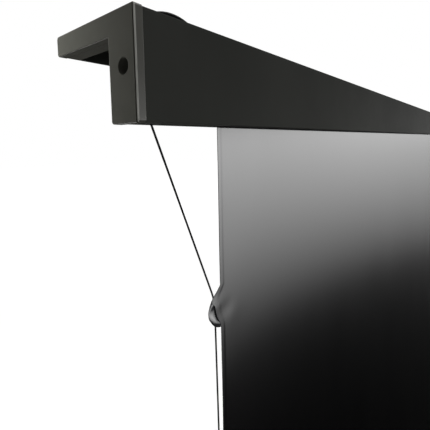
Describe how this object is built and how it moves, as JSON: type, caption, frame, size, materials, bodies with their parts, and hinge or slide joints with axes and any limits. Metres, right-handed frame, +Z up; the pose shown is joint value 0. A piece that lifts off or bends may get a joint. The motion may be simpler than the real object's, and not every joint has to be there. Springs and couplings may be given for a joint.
{
  "type": "floor-rising projection screen",
  "caption": "Floor-rising projection screen: dark tab-tensioned fabric between a lidded top bar and a long floor case, raised by a sprung diamond of four arms behind it.",
  "frame": {"origin": "on the floor under the middle of the case", "axes": "+X along the screen to the right of someone facing it, +Y towards its back, +Z up"},
  "size_m": [2.536, 0.116, 1.8015],
  "materials": {
    "bar_black": "fine black powder coat",
    "cap_black": "moulded black plastic, fine grain",
    "case_black": "fine black powder coat",
    "screen": "smooth dark satin screen fabric",
    "tab": "soft black film",
    "cord": "black coated cord",
    "steel": "zinc plated",
    "dark_steel": "black oxide",
    "alloy": "mill finish",
    "rubber": "black rubber",
    "black_plastic": "moulded black plastic",
    "grey_plastic": "moulded grey plastic",
    "board": "circuit board",
    "brass": "plain",
    "ir": "dark tinted window",
    "spring_steel": "blued spring steel"
  },
  "bodies": {
    "case": {"case_floor": "case_black", "case_front_wall": "case_black", "case_rear_wall": "case_black", "case_end_cap_left": "cap_black", "case_end_cap_right": "cap_black", "case_end_cap_screws": "dark_steel", "rubber_feet": "rubber", "roller_motor": "steel", "motor_head": "black_plastic", "motor_bracket": "steel", "idler_bracket": "steel", "lift_base_bracket": "dark_steel", "base_pivot_pins": "steel", "control_box_cover": "grey_plastic", "control_board": "board", "power_inlet": "black_plastic", "inlet_pins": "brass", "control_port": "grey_plastic", "ir_window": "ir", "cord_anchor_left": "black_plastic", "cord_anchor_right": "black_plastic", "screen_fabric": "screen", "side_tabs_left": "tab", "side_tabs_right": "tab", "tension_cord_left": "cord", "tension_cord_right": "cord"},
    "roller": {"roller_tube": "alloy", "fabric_roll": "screen", "drive_crown": "black_plastic", "motor_ring": "black_plastic", "idler_plug": "grey_plastic"},
    "lower_arm_left": {"lower_arm_left": "alloy", "elbow_pin_left": "steel", "elbow_washer_left": "black_plastic", "elbow_spring_left": "spring_steel"},
    "lower_arm_right": {"lower_arm_right": "alloy", "elbow_pin_right": "steel", "elbow_washer_right": "black_plastic", "elbow_spring_right": "spring_steel"},
    "upper_arm_left": {"upper_arm_left": "alloy"},
    "upper_arm_right": {"upper_arm_right": "alloy"},
    "top_bar": {"top_bar_extrusion": "bar_black", "top_bar_end_cap_left": "cap_black", "top_bar_end_cap_right": "cap_black", "cord_post_left": "black_plastic", "cord_post_right": "black_plastic", "cord_bush_left": "black_plastic", "cord_bush_right": "black_plastic", "fabric_batten": "alloy", "top_edge_strip": "black_plastic", "top_pivot_bracket": "dark_steel", "top_pivot_pins": "steel"},
    "tension_screw_left": {"tension_screw_left": "dark_steel"},
    "tension_screw_right": {"tension_screw_right": "dark_steel"},
    "tension_slider_left": {"tension_slider_left": "alloy"},
    "tension_slider_right": {"tension_slider_right": "alloy"}
  },
  "joints": [
    {"name": "lift", "type": "hinge", "parent": "case", "child": "lower_arm_left", "pos_m": [-0.036, 0.0255, 0.054], "axis": [0, -1, 0], "range_deg": [0, 62.22], "deforming": ["screen_fabric", "side_tabs_left", "side_tabs_right", "tension_cord_left", "tension_cord_right"]},
    {"name": "elbow_left_turn", "type": "hinge", "parent": "lower_arm_left", "child": "upper_arm_left", "pos_m": [-0.43749, 0.0385, 0.91499], "axis": [0, 1, 0], "range_deg": [0, 124.45]},
    {"name": "top_pivot_turn", "type": "hinge", "parent": "upper_arm_left", "child": "top_bar", "pos_m": [-0.036, 0.0385, 1.77598], "axis": [0, -1, 0], "range_deg": [0, 62.22]},
    {"name": "lift_right", "type": "hinge", "parent": "case", "child": "lower_arm_right", "pos_m": [0.036, 0.0255, 0.054], "axis": [0, 1, 0], "range_deg": [0, 62.22]},
    {"name": "elbow_right_turn", "type": "hinge", "parent": "lower_arm_right", "child": "upper_arm_right", "pos_m": [0.43749, 0.0385, 0.91499], "axis": [0, -1, 0], "range_deg": [0, 124.45]},
    {"name": "roller_spin", "type": "hinge", "parent": "case", "child": "roller", "pos_m": [0, -0.01935, 0.046], "axis": [1, 0, 0], "range_deg": [0, 3487]},
    {"name": "tension_screw_left_turn", "type": "hinge", "parent": "top_bar", "child": "tension_screw_left", "pos_m": [-1.207, -0.043, 1.75998], "axis": [1, 0, 0], "range_deg": [-1444, 1444]},
    {"name": "tension_slider_left_slide", "type": "slide", "parent": "top_bar", "child": "tension_slider_left", "axis": [1, 0, 0], "range_m": [-0.004, 0.004]},
    {"name": "tension_screw_right_turn", "type": "hinge", "parent": "top_bar", "child": "tension_screw_right", "pos_m": [1.207, -0.043, 1.75998], "axis": [1, 0, 0], "range_deg": [-1444, 1444]},
    {"name": "tension_slider_right_slide", "type": "slide", "parent": "top_bar", "child": "tension_slider_right", "axis": [1, 0, 0], "range_m": [-0.004, 0.004]}
  ],
  "couplings": [
    {"joint": "elbow_left_turn", "follows": "lift", "ratio": 2},
    {"joint": "top_pivot_turn", "follows": "lift", "ratio": 1},
    {"joint": "lift_right", "follows": "lift", "ratio": 1},
    {"joint": "elbow_right_turn", "follows": "lift", "ratio": 2},
    {"joint": "roller_spin", "follows": "lift", "ratio": 56.003},
    {"joint": "tension_screw_left_turn", "follows": "tension_slider_left_slide", "rad_per_m": 6283.2},
    {"joint": "tension_screw_right_turn", "follows": "tension_slider_right_slide", "rad_per_m": 6283.2}
  ]
}
